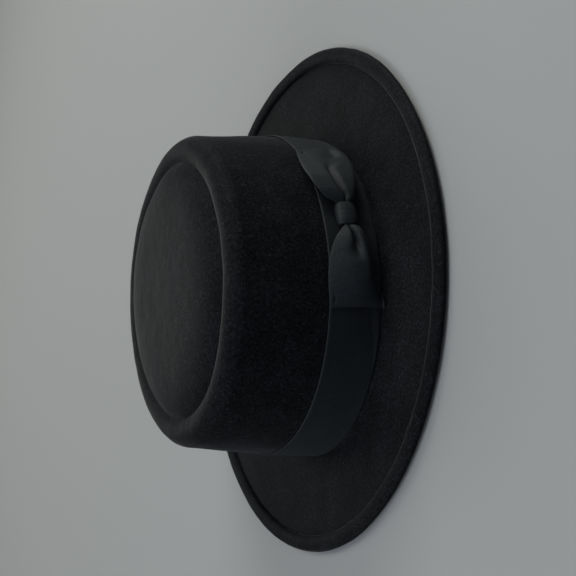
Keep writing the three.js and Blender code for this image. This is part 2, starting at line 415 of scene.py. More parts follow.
@dataclass(frozen=True)
class Grosgrain:
    """Black viscose grosgrain ribbon, woven with a cord in each crosswise rib.

    Fine warp threads run along the ribbon over the cords. It is smoother than the felt, with a
    faint soft shine on the crowns of the ribs, and its black leans to blue. Real warp threads
    are about half as wide as these, which are as coarse as they need to be to show.
    """

    name: str = "viscose_grosgrain_woven"
    colour: str = "#181d22"
    worn_colour: str = "#1f242a"
    deep_colour: str = "#111519"
    thread_mm: float = 0.42
    thread_depth_mm: float = 0.03
    slub_mm: float = 1.6
    patch_mm: float = 14.0
    thread_weight: float = 0.12
    patch_weight: float = 0.3
    stops: tuple[float, float, float] = (0.45, 0.71, 0.98)
    roughness: float = 0.62
    specular: float = 0.3
    sheen: float = 0.04
    sheen_roughness: float = 0.4

    def build(self) -> bpy.types.Material:
        """Makes the material, with threads on the ribbon's own UV map, in metres of cloth.

        The tone is the slubs plus weighted threads and patches, and three stops colour it.

        Returns:
            The material.
        """
        material, tree = empty_material(self.name)
        cloth = add_node(tree, "ShaderNodeUVMap", {"uv_map": "cloth"}).outputs["UV"]
        place = add_node(tree, "ShaderNodeTexCoord").outputs["Object"]
        threads = add_node(tree, "ShaderNodeTexWave", {
            "wave_type": "BANDS", "bands_direction": "Y", "wave_profile": "SIN"}, {
            "Vector": cloth, "Scale": band_scale(self.thread_mm), "Distortion": 0.4,
            "Detail": 1.0})
        slubs = add_node(tree, "ShaderNodeTexNoise", {}, {
            "Vector": place, "Scale": grain_scale(self.slub_mm), "Detail": 4.0,
            "Roughness": 0.6})
        patches = add_node(tree, "ShaderNodeTexNoise", {}, {
            "Vector": place, "Scale": grain_scale(self.patch_mm), "Detail": 2.0})
        weave = add_node(tree, "ShaderNodeMath", {"operation": "MULTIPLY_ADD"}, {
            0: threads.outputs["Fac"], 1: self.thread_weight, 2: slubs.outputs["Fac"]})
        tone = add_node(tree, "ShaderNodeMath", {"operation": "MULTIPLY_ADD"}, {
            0: patches.outputs["Fac"], 1: self.patch_weight, 2: weave.outputs["Value"]})
        colour = add_node(tree, "ShaderNodeValToRGB", {}, {"Fac": tone.outputs["Value"]})
        set_stops(colour.color_ramp, self.stops,
                  (self.deep_colour, self.colour, self.worn_colour))
        bump = add_node(tree, "ShaderNodeBump", {}, {
            "Height": threads.outputs["Fac"], "Distance": self.thread_depth_mm * MM})
        shader = add_node(tree, "ShaderNodeBsdfPrincipled", {}, {
            "Base Color": colour.outputs["Color"], "Roughness": self.roughness,
            "Specular IOR Level": self.specular, "Sheen Weight": self.sheen,
            "Sheen Roughness": self.sheen_roughness, "Normal": bump.outputs["Normal"]})
        add_node(tree, "ShaderNodeOutputMaterial", {}, {"Surface": shader.outputs["BSDF"]})
        return material


@dataclass(frozen=True)
class Thread:
    """Black spun cotton thread, two plies twisted together.

    It is dull. The shade in the slanting groove between the plies is painted: dark slanting
    bands of colour, with no groove in the shape. The plies are drawn twice as wide as real
    ones, so that the painted groove shows.
    """

    name: str = "cotton_thread_spun"
    colour: str = "#22252a"
    groove_colour: str = "#0e0f11"
    ply_mm: float = 0.35
    roughness: float = 0.8
    specular: float = 0.2

    def build(self) -> bpy.types.Material:
        """Makes the material from slanted bands in Object coordinates, which paint the groove's
        shade.

        Returns:
            The material.
        """
        material, tree = empty_material(self.name)
        place = add_node(tree, "ShaderNodeTexCoord").outputs["Object"]
        plies = add_node(tree, "ShaderNodeTexWave", {
            "wave_type": "BANDS", "bands_direction": "DIAGONAL", "wave_profile": "SIN"}, {
            "Vector": place, "Scale": band_scale(self.ply_mm), "Distortion": 0.6})
        # Painted shade: the dark colour stands for the shade in the groove between the plies.
        colour = add_node(tree, "ShaderNodeMix", {"data_type": "RGBA"}, {
            "Factor": plies.outputs["Fac"], COLOUR_A: linear(self.groove_colour),
            COLOUR_B: linear(self.colour)})
        shader = add_node(tree, "ShaderNodeBsdfPrincipled", {}, {
            "Base Color": colour.outputs[MIXED_COLOUR], "Roughness": self.roughness,
            "Specular IOR Level": self.specular})
        add_node(tree, "ShaderNodeOutputMaterial", {}, {"Surface": shader.outputs["BSDF"]})
        return material


# ---------------------------------------------------------------- the felt

# Columns of a table of ovals.
LENGTH, WIDTH, HEIGHT = 0, 1, 4


@dataclass(frozen=True)
class Oval:
    """A level section of the felt, in millimetres.

    At an angle t from +X it lies at x = width cos t (1 + egg sin t) and
    y = shift + length sin t.
    """

    length: float
    width: float
    shift: float
    egg: float
    z: float


def table_of(ovals: Sequence[Oval]) -> np.ndarray:
    """Ovals as an array, a row each, with the columns length, width, shift, egg and z."""
    return np.array([astuple(oval) for oval in ovals])


def oval_rings(table: np.ndarray, angles: np.ndarray) -> np.ndarray:
    """The points of ovals at some angles: the formula of Oval, for a whole table at once.

    Args:
        table: Ovals, one to a row.
        angles: Angles from +X, in radians.

    Returns:
        Points, ovals by angles by 3.
    """
    length, width, shift, egg, z = np.hsplit(table, table.shape[1])
    across = width * np.cos(angles) * (1 + egg * np.sin(angles))
    along = shift + length * np.sin(angles)
    return np.stack([across, along, np.broadcast_to(z, across.shape)], axis=-1)


def grown(table: np.ndarray, distance: np.ndarray | float, z: np.ndarray | float) -> np.ndarray:
    """Ovals made larger by a distance all round and put at new heights.

    Args:
        table: Ovals, one to a row.
        distance: What is added to their length and width.
        z: Their new heights.

    Returns:
        A new table.
    """
    count = max(len(table), np.size(distance), np.size(z))
    larger = np.repeat(table, count // len(table), axis=0)
    larger[:, LENGTH] += distance
    larger[:, WIDTH] += distance
    larger[:, HEIGHT] = z
    return larger


@dataclass
class FeltHat:
    """The felt: crown, groove, rim, side, brim and rolled edge in one wall, open below.

    The crown's domed top is called the pillow, and the brim's turned-up edge the roll. Where
    rows are spread over the outside, `row_spacing` millimetres of its profile weigh as much as
    `row_turn` radians of turning.
    """

    felt: float = 2.7
    pillow: Oval = Oval(83.5, 69.8, -3.3, 0.039, 78.0)
    pillow_rise: float = 16.8
    pillow_squareness: float = 6
    pillow_shoulder: float = 0.65
    pillow_start: float = 0.02
    pillow_end: float = 0.925
    pillow_rows_made: int = 40
    groove: tuple[Oval, ...] = (
        Oval(78.2, 65.8, -3.4, 0.039, 86.0),
        Oval(79.9, 67.7, -3.5, 0.039, 86.75),
        Oval(81.35, 69.2, -3.5, 0.039, 87.45),
        Oval(82.9, 70.85, -3.5, 0.039, 87.85),
    )
    rim: Oval = Oval(84.5, 72.5, -3.5, 0.039, 88.0)
    rim_radius: float = 9.2
    rim_rows_made: int = 14
    side: tuple[Oval, ...] = (
        Oval(94.9, 82.9, -3.0, 0.036, 68.0),
        Oval(96.3, 84.3, -2.2, 0.031, 56.0),
        Oval(97.5, 85.4, -1.2, 0.025, 45.0),
        Oval(98.3, 86.1, -0.4, 0.02, 36.0),
        Oval(98.5, 86.4, 0, 0.018, 28.0),
        Oval(98.6, 86.6, 0, 0.018, 12.0),
        Oval(98.9, 86.8, 0, 0.018, 5.2),
        Oval(99.3, 87.2, 0, 0.018, 4.0),
        Oval(100.4, 88.3, 0, 0.017, 3.2),
        Oval(103.5, 91.8, 0, 0.013, 2.8),
    )
    brim: tuple[Oval, ...] = (
        Oval(112, 102, 0, 0.008, 2.7),
        Oval(142, 137.5, 0, 0, 2.7),
    )
    roll_width: float = 9.2
    roll_height: float = 3.1
    roll_fullness: float = 0.8
    roll_under: float = 6.2
    roll_rows_over: int = 30
    roll_rows_under: int = 11
    columns: int = 384
    outer_rows: int = 178
    inner_step: int = 3
    profile_steps: int = 6000
    row_spacing: float = 2.2
    row_turn: float = math.radians(10)
    even_below: float = 0.5
    swell: Swell = Swell(seed=11, shortest=24, longest=95, height=0.16)
    dents: Swell = Swell(seed=23, shortest=7, longest=20, height=0.05, waves=24)

    def pillow_rows(self) -> np.ndarray:
        """The domed top's ovals.

        Each is a share f of the full one, at z + rise (1 - f^squareness)^shoulder.

        Returns:
            A table of ovals, from the middle out.
        """
        share = np.linspace(self.pillow_start, self.pillow_end, self.pillow_rows_made)
        table = np.repeat(table_of([self.pillow]), len(share), axis=0)
        table[:, [LENGTH, WIDTH]] *= share[:, None]
        dome = (1 - share ** self.pillow_squareness) ** self.pillow_shoulder
        table[:, HEIGHT] += self.pillow_rise * dome
        return table

    def rim_rows(self) -> np.ndarray:
        """The rim's ovals: a quarter of a circle from its crest out and down to the side.

        Returns:
            A table of ovals, from the crest out.
        """
        turn = np.linspace(0, QUARTER_TURN, self.rim_rows_made)
        drop = self.rim_radius * (1 - np.cos(turn))
        return grown(table_of([self.rim]), self.rim_radius * np.sin(turn), self.rim.z - drop)

    def roll_rows(self) -> np.ndarray:
        """The turned-up edge's ovals: over its top, then back under to the flat underside.

        The top is at w/2 (1 - cos t) outwards and h sin(t)^fullness upwards, for t from 0 to
        half a turn. The underside is a quarter of an ellipse.

        Returns:
            A table of ovals, from the crease out and back.
        """
        crease = table_of(self.brim[-1:])
        turn = np.linspace(0, HALF_TURN, self.roll_rows_over + 1)[1:]
        outward = self.roll_width / 2 * (1 - np.cos(turn))
        height = self.roll_height * np.maximum(np.sin(turn), 0) ** self.roll_fullness
        over = grown(crease, outward, self.felt + height)
        turn = np.linspace(0, QUARTER_TURN, self.roll_rows_under + 1)[1:]
        inward = self.roll_under * (1 - np.cos(turn))
        under = grown(crease, self.roll_width - inward, self.felt * (1 - np.sin(turn)))
        return np.vstack([over, under])

    def outside(self) -> np.ndarray:
        """The ovals from the top's middle over the hat to the brim's flat underside.

        They are spread evenly over the profile's length plus its turning, so that the groove,
        the rim and the rolled edge get the closest rows.

        Returns:
            A table of ovals.
        """
        rows = np.vstack([self.pillow_rows(), table_of(self.groove), self.rim_rows(),
                          table_of(self.side), table_of(self.brim), self.roll_rows()])
        flat = rows[:, [LENGTH, HEIGHT]]
        length = np.concatenate([[0], np.cumsum(np.hypot(*np.diff(flat, axis=0).T))])
        fine = np.linspace(0, length[-1], self.profile_steps)
        dense = smooth_between(length, rows, fine)
        heading = np.unwrap(np.arctan2(*np.gradient(dense[:, [HEIGHT, LENGTH]], axis=0).T))
        effort = fine / self.row_spacing + np.concatenate(
            [[0], np.cumsum(np.abs(np.diff(heading)))]) / self.row_turn
        wanted = np.linspace(0, effort[-1], self.outer_rows)
        return smooth_between(length, rows, np.interp(wanted, effort, fine))

    def shape(self) -> Shape:
        """The closed wall: outside, rolled edge, underside and the hollow's inner face.

        The outside is moved along its normals by the swell and the dents, which fade out at
        the brim's flat underside. The inner face lies one felt thickness inside the outside.

        Returns:
            The felt's shape.
        """
        angles = np.arange(self.columns) * FULL_TURN / self.columns
        table = self.outside()
        outer = oval_rings(table, angles)
        uneven = ((self.swell.at(outer) + self.dents.at(outer))
                  * ramp(outer[..., 2], self.even_below, self.felt))
        outer = outer + normals_of(outer) * uneven[..., None]
        top = np.array([0, self.pillow.shift, outer[0, :, 2].mean()])
        through = self.felt * UPWARDS
        foot = self.brim[0]
        under = table_of([self.brim[1], foot])
        under[:, HEIGHT] = 0
        wall = outer[:int(np.argmax(table[:, LENGTH] >= foot.length))]
        inner = wall - normals_of(wall) * self.felt
        inner[0] = wall[0] - through
        inner = inner[::self.inner_step][::-1]
        grid = np.concatenate([outer, oval_rings(under, angles), inner])
        rows = len(grid)
        points = np.vstack([grid.reshape(-1, 3), top, top - through])
        tip = rows * self.columns
        faces = [grid_quads(rows, self.columns, False, True), fan(0, self.columns, tip, True),
                 fan(tip - self.columns, self.columns, tip + 1, False)]
        return Shape(points, faces)

    def build(self, felt: bpy.types.Material) -> bpy.types.Object:
        """Makes the felt piece, dresses it and fixes it in place.

        Args:
            felt: Its finish.

        Returns:
            The piece.
        """
        piece = self.shape().to_object("felt_hat", felt)
        fix_to_hat(piece, "felt_body")
        return piece


# ---------------------------------------------------------------- the ribbon

@dataclass(frozen=True)
class Weave:
    """The ribbon's ribs: ridges across it, with round crowns and round valleys, in millimetres.

    Real ribs are somewhat closer together. These are as coarse as they need to be to show.
    """

    pitch: float = 1.0
    height: float = 0.07
    samples: int = 4

    def lift(self, along: np.ndarray) -> np.ndarray:
        """How far ribs stand out at places along the ribbon: half their height times a cosine."""
        return self.height / 2 * np.cos(FULL_TURN * along / self.pitch)


@dataclass(frozen=True)
class Fold:
    """A slanting crease over a slanting ridge, low on the band beside the bow, in millimetres.

    Both start at the place `start` along the band and run `length` on towards the front, and
    they fall by `crease_fall` and `ridge_fall` on the way.
    """

    start: float = -75.0
    length: float = 35.0
    crease_z: float = 10.4
    crease_fall: float = 5.4
    ridge_z: float = 7.0
    ridge_fall: float = 5.3
    width: float = 1.0
    height: float = 0.16
    fade_in: tuple[float, float] = (-0.3, 0)
    fade_out: tuple[float, float] = (0.8, 1.3)

    def lift(self, along: np.ndarray, z: np.ndarray) -> np.ndarray:
        """How far the ribbon stands out: one bell for the ridge less one for the crease.

        Args:
            along: Places along the band.
            z: Heights, of the same shape.

        Returns:
            The lift at each of them, which fades in before the start and out past the end.
        """
        share = (self.start - along) / self.length
        crease = bell(z - (self.crease_z - self.crease_fall * share), self.width)
        ridge = bell(z - (self.ridge_z - self.ridge_fall * share), self.width)
        shown = ramp(share, *self.fade_in) * (1 - ramp(share, *self.fade_out))
        return self.height * (ridge - crease) * shown


@dataclass
class RibbonBand:
    """The band: one ribbon round the foot of the crown, joined just past the bow's back end.

    Its ribbed face lies `face` off its back, and the bow is laid out on a face that lies
    `thick` off it.
    """

    hat: FeltHat
    weave: Weave = Weave()
    fold: Fold = Fold()
    bottom: float = 4.3
    top: float = 34.7
    gap: float = 0.3
    thick: float = 1.0
    face: float = 0.55
    rows: int = 36
    join_along: float = 33.4
    join_slant: float = 9.6
    join_height: float = 0.3
    join_width: float = 0.6
    selvedge: float = 0.9
    selvedge_place: float = 0.5
    selvedge_lift: float = 0.03
    edge_width: float = 0.5
    edge_drop: float = 0.2
    edge_ribs: float = 0.06
    ribs_from: float = -0.2
    ribs_full: float = 0.6
    back_inset: float = 0.1
    measured_at: float = 12.0
    measured_steps: int = 7200
    swell: Swell = Swell(seed=5, shortest=16, longest=60, height=0.1)

    def __post_init__(self) -> None:
        """Measures the way round the band's outer oval, for places along it."""
        self._side = table_of(self.hat.side)[::-1]
        oval = self.side_at(np.array([self.measured_at]), self.gap + self.thick)
        angles = np.linspace(-HALF_TURN, HALF_TURN, self.measured_steps + 1)
        ring = oval_rings(oval, angles)[0]
        steps = np.linalg.norm(np.diff(ring, axis=0), axis=1)
        way = np.concatenate([[0], np.cumsum(steps)])
        self._angles = angles
        self._way = way - np.interp(0, angles, way)
        self.around = float(way[-1])

    def side_at(self, z: np.ndarray, distance: np.ndarray | float = 0) -> np.ndarray:
        """The ovals of the crown's side at some heights, made larger by a distance.

        Args:
            z: Heights in millimetres.
            distance: How far out from the felt.

        Returns:
            A table of ovals.
        """
        return grown(smooth_between(self._side[:, HEIGHT], self._side, z), distance, z)

    def angle_at(self, along: np.ndarray) -> np.ndarray:
        """Angles round the hat at distances along the band from +X towards the back."""
        return np.interp(along, self._way, self._angles)

    def over(self, along: np.ndarray, z: np.ndarray, off: np.ndarray) -> np.ndarray:
        """Points over the band, which the bow is laid out on.

        Each is the point of the band's oval at its height and its place along the band, moved
        out level along the normal of the ellipse.

        Args:
            along: Distances along the band.
            z: Heights, of the same shape.
            off: Distances off the band's face, of the same shape.

        Returns:
            Points with x, y, z last.
        """
        level = np.clip(z, self.bottom, self.top).ravel()
        table = self.side_at(level, self.gap + self.thick)
        angle = self.angle_at(along).ravel()
        length, width, shift, egg, _ = table.T
        across = width * np.cos(angle) * (1 + egg * np.sin(angle))
        lengthwise = shift + length * np.sin(angle)
        outward = np.stack([np.cos(angle) / width, np.sin(angle) / length], axis=1)
        outward /= np.linalg.norm(outward, axis=1, keepdims=True)
        flat = np.stack([across, lengthwise], axis=1) + outward * off.reshape(-1, 1)
        return np.concatenate([flat, z.reshape(-1, 1)], axis=1).reshape(*z.shape, 3)

    def join_ridge(self, along: np.ndarray, z: np.ndarray) -> np.ndarray:
        """The join, just past the bow's back end: a ridge that leans back towards the brim."""
        place = self.join_along + self.join_slant * (self.top - z) / (self.top - self.bottom)
        return self.join_height * bell(along - place, self.join_width)

    def shape(self) -> Shape:
        """The closed ribbon: its ribbed face, its two edges and its smooth back.

        The face is the felt's ovals moved out. It is lifted by the ribs' cosine, by a bell along
        each selvedge, by the fold and by the join, and it drops by a bell at its very edges.

        Returns:
            The band's shape.
        """
        ribs = round(self.around / self.weave.pitch)
        count = ribs * self.weave.samples
        along = (np.arange(count) / count - 0.5) * self.around
        place = self._way[0] + (along - along[0])
        angles = self.angle_at(place)
        height = np.linspace(self.top, self.bottom, self.rows)
        z, way = np.meshgrid(height, place, indexing="ij")
        from_edge = np.minimum(self.top - z, z - self.bottom)
        rib_phase = np.cos(FULL_TURN * np.arange(count) / self.weave.samples)
        ribbed = ramp(from_edge, self.ribs_from, self.ribs_full)
        lift = (self.weave.height / 2 * rib_phase[None, :] * ribbed
                + self.selvedge_lift * bell(from_edge - self.selvedge_place, self.selvedge / 2)
                - self.edge_drop * bell(from_edge, self.edge_width)
                + self.fold.lift(way, z) + self.join_ridge(way, z))
        front = oval_rings(self.side_at(height, self.gap + self.face), angles)
        out = normals_of(front)
        front = front + out * (lift + self.swell.at(front))[..., None]
        edge_rib = self.edge_ribs * rib_phase[None, :, None] * UPWARDS
        front[:1] += edge_rib
        front[-1:] -= edge_rib
        back_height = np.array([self.bottom + self.back_inset, self.top - self.back_inset])
        back = oval_rings(self.side_at(back_height, self.gap), angles)
        grid = np.concatenate([front, back])
        cloth_z = np.concatenate([height, back_height])
        cloth = np.stack(np.broadcast_arrays(place[None, :], cloth_z[:, None]), axis=-1)
        faces = grid_quads(len(grid), count, True, True)
        return Shape(grid.reshape(-1, 3), [faces], cloth.reshape(-1, 2))

    def build(self, ribbon: bpy.types.Material) -> bpy.types.Object:
        """Makes the band, dresses it and fixes it in place.

        Args:
            ribbon: Its finish.

        Returns:
            The piece.
        """
        grosgrain_band = self.shape().to_object("grosgrain_band", ribbon)
        fix_to_hat(grosgrain_band, "ribbon_band")
        return grosgrain_band


@dataclass(frozen=True)
class Crossing:
    """A line across the bow's strip, in millimetres.

    `along` is its place along the band at its top edge and `slant` how much further back its
    lower edge is. From its edge at the height `top`, which stands off the band by `edge`, it
    swells out to `bulge` at the height `turn`, and then it turns under to its other edge at
    the height `foot`. `thick` is its thickness. The pleat takes the share `pleat` of its lift
    away, at the share `fold` of its width, and fades over the share `above` of the width above
    that and `below` under it. `curl` is how far its lower edge turns outwards again.
    """

    along: float
    slant: float
    top: float
    turn: float
    foot: float
    edge: float
    bulge: float
    thick: float
    pleat: float
    fold: float
    above: float
    below: float
    curl: float


@dataclass(frozen=True)
class Dimple:
    """A small hollow in the bow, in millimetres, where it is tacked down."""

    along: float
    z: float
    depth: float
    half_length: float
    half_height: float


@dataclass
class Bow:
    """The flat bow: a strip with two wings, the knot round its middle, and its tack stitches.

    Sizes are in millimetres, and places along the band run from +X towards the back.
    `turn_share` and `curl_width` are shares of the strip's width, and `ribs_full` is a share of
    its half width. A thread's spacing, rise and dip are in its own radii.
    """

    band: RibbonBand
    width: float = 31.3
    strip_flat_metres: tuple[float, float] = (0.0313, 0.108)
    knot_flat_metres: tuple[float, float] = (0.0132, 0.030)
    weave: Weave = Weave()
    crossings: tuple[Crossing, ...] = (
        Crossing(-75, 2, 35.2, 17.6, 4.4, 0.3, 2.6, 0.4, 0, 0.55, 0.1, 0.06, 1.5),
        Crossing(-72, 1.7, 35.8, 17.6, 5, 0.5, 4.2, 0.8, 0, 0.55, 0.1, 0.06, 2.1),
        Crossing(-68, 1.3, 36.3, 17.4, 6.4, 0.7, 5.8, 0.8, 0, 0.55, 0.1, 0.06, 2),
        Crossing(-63, 0.8, 36.7, 17.2, 9, 0.8, 7.2, 0.8, 0, 0.55, 0.1, 0.06, 1),
        Crossing(-58, 0.4, 36.7, 17, 11.4, 0.9, 8, 0.8, 0.02, 0.55, 0.1, 0.1, 0.2),
        Crossing(-53, 0.1, 36.3, 17, 12.6, 1.1, 8.2, 0.8, 0.02, 0.57, 0.14, 0.1, 0),
        Crossing(-48, 0, 35.4, 17.2, 13.0, 1.5, 7.9, 0.8, 0.18, 0.58, 0.16, 0.08, 0),
        Crossing(-42, 0, 33.4, 18.2, 13.8, 2, 7.6, 1, 0.5, 0.59, 0.11, 0.07, 0),
        Crossing(-37, 0, 30.6, 18.8, 15.2, 2.6, 7, 1.2, 0.74, 0.53, 0.085, 0.065, 0),
        Crossing(-33, 0, 27.2, 19.4, 16.8, 2.8, 5.2, 1.5, 0.6, 0.4, 0.09, 0.07, 0),
        Crossing(-30.5, 0, 25.2, 20.6, 19, 2.4, 2.8, 1.8, 0.2, 0.3, 0.1, 0.08, 0),
        Crossing(-24, 0, 25.6, 20.6, 19, 2.2, 2.4, 1.8, 0, 0.4, 0.08, 0.08, 0),
        Crossing(-18, 0, 27, 20.6, 18.8, 2.6, 3, 1.8, 0.2, 0.5, 0.05, 0.1, 0),
        Crossing(-15, 0, 33.4, 19.4, 16.4, 3.8, 5.4, 1.4, 0.5, 0.56, 0.04, 0.06, 0),
        Crossing(-10, 0, 37.8, 17.8, 14, 5, 7, 1, 0.46, 0.48, 0.035, 0.06, 0),
        Crossing(-3, 0.5, 40.4, 16, 11.6, 4.8, 7.4, 0.9, 0.4, 0.42, 0.035, 0.06, 0),
        Crossing(4, 1.4, 41, 14.2, 9.6, 3.4, 7, 0.8, 0.22, 0.38, 0.04, 0.07, 0),
        Crossing(12, 3.2, 40.4, 12.4, 8, 2, 5.4, 0.8, 0.12, 0.46, 0.12, 0.14, 0),
        Crossing(20, 5.6, 39, 11.8, 7.2, 1, 4, 0.8, 0.56, 0.62, 0.18, 0.05, 0.3),
        Crossing(24, 7, 38, 12, 7.2, 0.7, 2.7, 0.8, 0.66, 0.63, 0.17, 0.06, 0.5),
        Crossing(27, 8.2, 37.2, 12.4, 7.4, 0.4, 1.4, 0.8, 0.6, 0.65, 0.14, 0.05, 0.5),
        Crossing(30.5, 9.6, 36.2, 13, 7.6, 0.3, 0.3, 0.8, 0, 0.68, 0.08, 0.06, 0.2),
    )
    tacks: tuple[Dimple, ...] = (
        Dimple(-70.9, 33.4, 0.7, 1.9, 0.55),
        Dimple(24.4, 34.2, 0.9, 1.0, 0.8),
    )
    hem_height: float = 0.12
    hem_width: float = 0.45
    gap: float = 0.3
    foot_lift: float = 0.6
    turn_share: float = 0.72
    turn_squareness: float = 2.0
    curl_width: float = 0.05
    strip_columns: int = 60
    ribs_full: float = 0.06
    side_squareness: float = 16
    side_thinning: float = 0.96
    share_steps: int = 200
    threads: int = 2
    thread_radius: float = 0.16
    thread_half: float = 1.5
    thread_shift: float = 0.1
    thread_spacing: float = 2.6
    thread_rise: float = 1.5
    thread_dip: float = 2.6
    thread_steps: int = 16
    thread_sides: int = 10
    knot_from: float = -30.6
    knot_to: float = -17.4
    knot_bottom: float = 17.0
    knot_top: float = 28.6
    knot_depth: float = 6.6
    knot_wall: float = 1.0
    knot_rounding: float = 0.8
    knot_squareness: float = 2.2
    knot_ribs: int = 30
    knot_columns: int = 48
    flutes: float = 4.5
    flute_depth: float = 0.03
    knot_lean: float = 0.07

    def crossing_line(self, rows: dict[str, np.ndarray],
                      share: np.ndarray) -> tuple[np.ndarray, np.ndarray]:
        """The height and the lift of the strip at shares of its width.

        Down to the turn, the height falls evenly and the lift grows as a quarter of a sine
        wave. Past it, both follow a quarter of a superellipse back to the lower edge. The
        pleat is a bell-shaped valley, and the curl a bell-shaped ridge along the lower edge.

        Args:
            rows: A crossing's values by name, a column each.
            share: Shares of the width, a row.

        Returns:
            Heights and lifts off the band.
        """
        over = np.clip(share / self.turn_share, 0, 1)
        under = np.clip((share - self.turn_share) / (1 - self.turn_share), 0, 1)
        power = 2 / self.turn_squareness
        sink = np.sin(QUARTER_TURN * under) ** power
        stay = np.maximum(np.cos(QUARTER_TURN * under), 0) ** power
        z = rows["top"] + (rows["turn"] - rows["top"]) * over + (rows["foot"] - rows["turn"]) * sink
        edge = rows["edge"]
        back = np.minimum(self.foot_lift, rows["bulge"])
        rise = np.sin(QUARTER_TURN * over)
        lift = np.where(under > 0, back + (rows["bulge"] - back) * stay,
                        edge + (rows["bulge"] - edge) * rise)
        past = share - rows["fold"]
        valley = bell(past, np.where(past < 0, rows["above"], rows["below"]))
        lift = lift * (1 - rows["pleat"] * valley)
        lift = lift + rows["curl"] * bell(1 - share, self.curl_width)
        return z, self.gap + lift

    def lie(self, at: np.ndarray, share: np.ndarray) -> tuple[np.ndarray, np.ndarray]:
        """Where the middle of the strip's thickness lies, and how thick the strip is there.

        The lines across the strip are joined by a smooth curve. Each tack takes a bell-shaped
        hollow away, and a low ridge along each end is the hem.

        Args:
            at: Distances along the band of the lines across the strip, n long.
            share: Shares of the strip's width, m long.

        Returns:
            Points, n by m by 3, and thicknesses, n by 1.
        """
        table = np.array([astuple(crossing) for crossing in self.crossings])
        smooth = smooth_between(table[:, 0], table, at)
        rows = {entry.name: smooth[:, i:i + 1] for i, entry in enumerate(fields(Crossing))}
        along = rows["along"] + rows["slant"] * share[None, :]
        z, lift = self.crossing_line(rows, share[None, :])
        for dimple in self.tacks:
            lift = lift - (dimple.depth * bell(along - dimple.along, dimple.half_length)
                           * bell(z - dimple.z, dimple.half_height))
        from_end = np.minimum(at - table[0, 0], table[-1, 0] - at)[:, None]
        lift = np.maximum(lift, self.gap) + self.hem_height * bell(from_end - self.hem_width,
                                                                   self.hem_width)
        return self.band.over(along, z, lift + rows["thick"] / 2), rows["thick"]

    def strip(self) -> Shape:
        """The strip with both wings: its face, its back, and its two cut ends.

        At a share s from its middle to its side, it is as thick as the square root of
        1 - thinning s^squareness, so that its sides are rounded. Its ribs fade out there.

        Returns:
            The strip's shape.
        """
        start, end = self.crossings[0].along, self.crossings[-1].along
        count = round((end - start) / self.weave.pitch) * self.weave.samples + 1
        at = np.linspace(start, end, count)
        share = np.linspace(0, 1, self.strip_columns)
        middle, thick = self.lie(at, share)
        from_side = np.abs(2 * share - 1)[None, :]
        rib = self.weave.lift(at)[:, None] * ramp(1 - from_side, 0, self.ribs_full)
        out = -normals_of(middle, closed_columns=False)
        half = thick / 2 * np.sqrt(1 - from_side ** self.side_squareness * self.side_thinning)
        front = middle + out * (half + rib)[..., None]
        back = middle - out * half[..., None]
        ring = np.concatenate([back, front[:, ::-1]], axis=1)
        columns = ring.shape[1]
        width = np.linspace(0, self.width, self.strip_columns)
        cloth = np.stack(np.broadcast_arrays(
            at[:, None], np.concatenate([width, width[::-1]])[None, :]), axis=-1)
        near = np.arange(self.strip_columns - 1)
        far = columns - 1 - near
        first = np.stack([near, near + 1, far - 1, far], axis=1)
        last = (np.stack([near, far, far - 1, near + 1], axis=1) + (count - 1) * columns)
        faces = [grid_quads(count, columns, False, True), first, last]
        return Shape(ring.reshape(-1, 3), faces, cloth.reshape(-1, 2))

    def share_at(self, along: float, z: float) -> float:
        """The share of the strip's width at a place on it, found along the line across it.

        Args:
            along: The place along the band.
            z: The height, above the strip's turn.

        Returns:
            The share.
        """
        share = np.linspace(0, self.turn_share, self.share_steps)
        points, _ = self.lie(np.array([along]), share)
        return float(np.interp(-z, -points[0, :, 2], share))

    def tack_stitches(self) -> Shape:
        """The tack stitches: in each dimple, threads side by side that dip in at both ends.

        A thread is a round tube. At a share s from its middle to its end, its centre stands
        off the strip by its radius times rise - dip s^4.

        Returns:
            The shape of all the threads.
        """
        turns = np.arange(self.thread_sides) * FULL_TURN / self.thread_sides
        steps = np.linspace(-1, 1, self.thread_steps)
        points, faces = [], []
        for tack in self.tacks:
            for thread in range(self.threads):
                from_middle = thread - (self.threads - 1) / 2
                offset = from_middle * self.thread_spacing * self.thread_radius
                share = np.array([self.share_at(tack.along, tack.z + offset)])
                at = tack.along - self.thread_shift + steps * self.thread_half
                middle, thick = self.lie(at, share)
                path = middle[:, 0]
                away = path * np.array([1, 1, 0])
                away /= np.linalg.norm(away, axis=1, keepdims=True)
                off = self.thread_rise - self.thread_dip * steps[:, None] ** 4
                path = path + away * (thick / 2 + self.thread_radius * off)
                ring = (path[:, None, :] + self.thread_radius
                        * (away[:, None, :] * np.cos(turns)[None, :, None]
                           + UPWARDS * np.sin(turns)[None, :, None]))
                start = sum(len(block) for block in points)
                tube = grid_quads(self.thread_steps, self.thread_sides, False, True)
                tips = start + self.thread_steps * self.thread_sides
                points.append(np.vstack([ring.reshape(-1, 3), path[:1], path[-1:]]))
                faces += [tube + start, fan(start, self.thread_sides, tips, True),
                          fan(tips - self.thread_sides, self.thread_sides, tips + 1, False)]
        return Shape(np.vstack(points), faces)

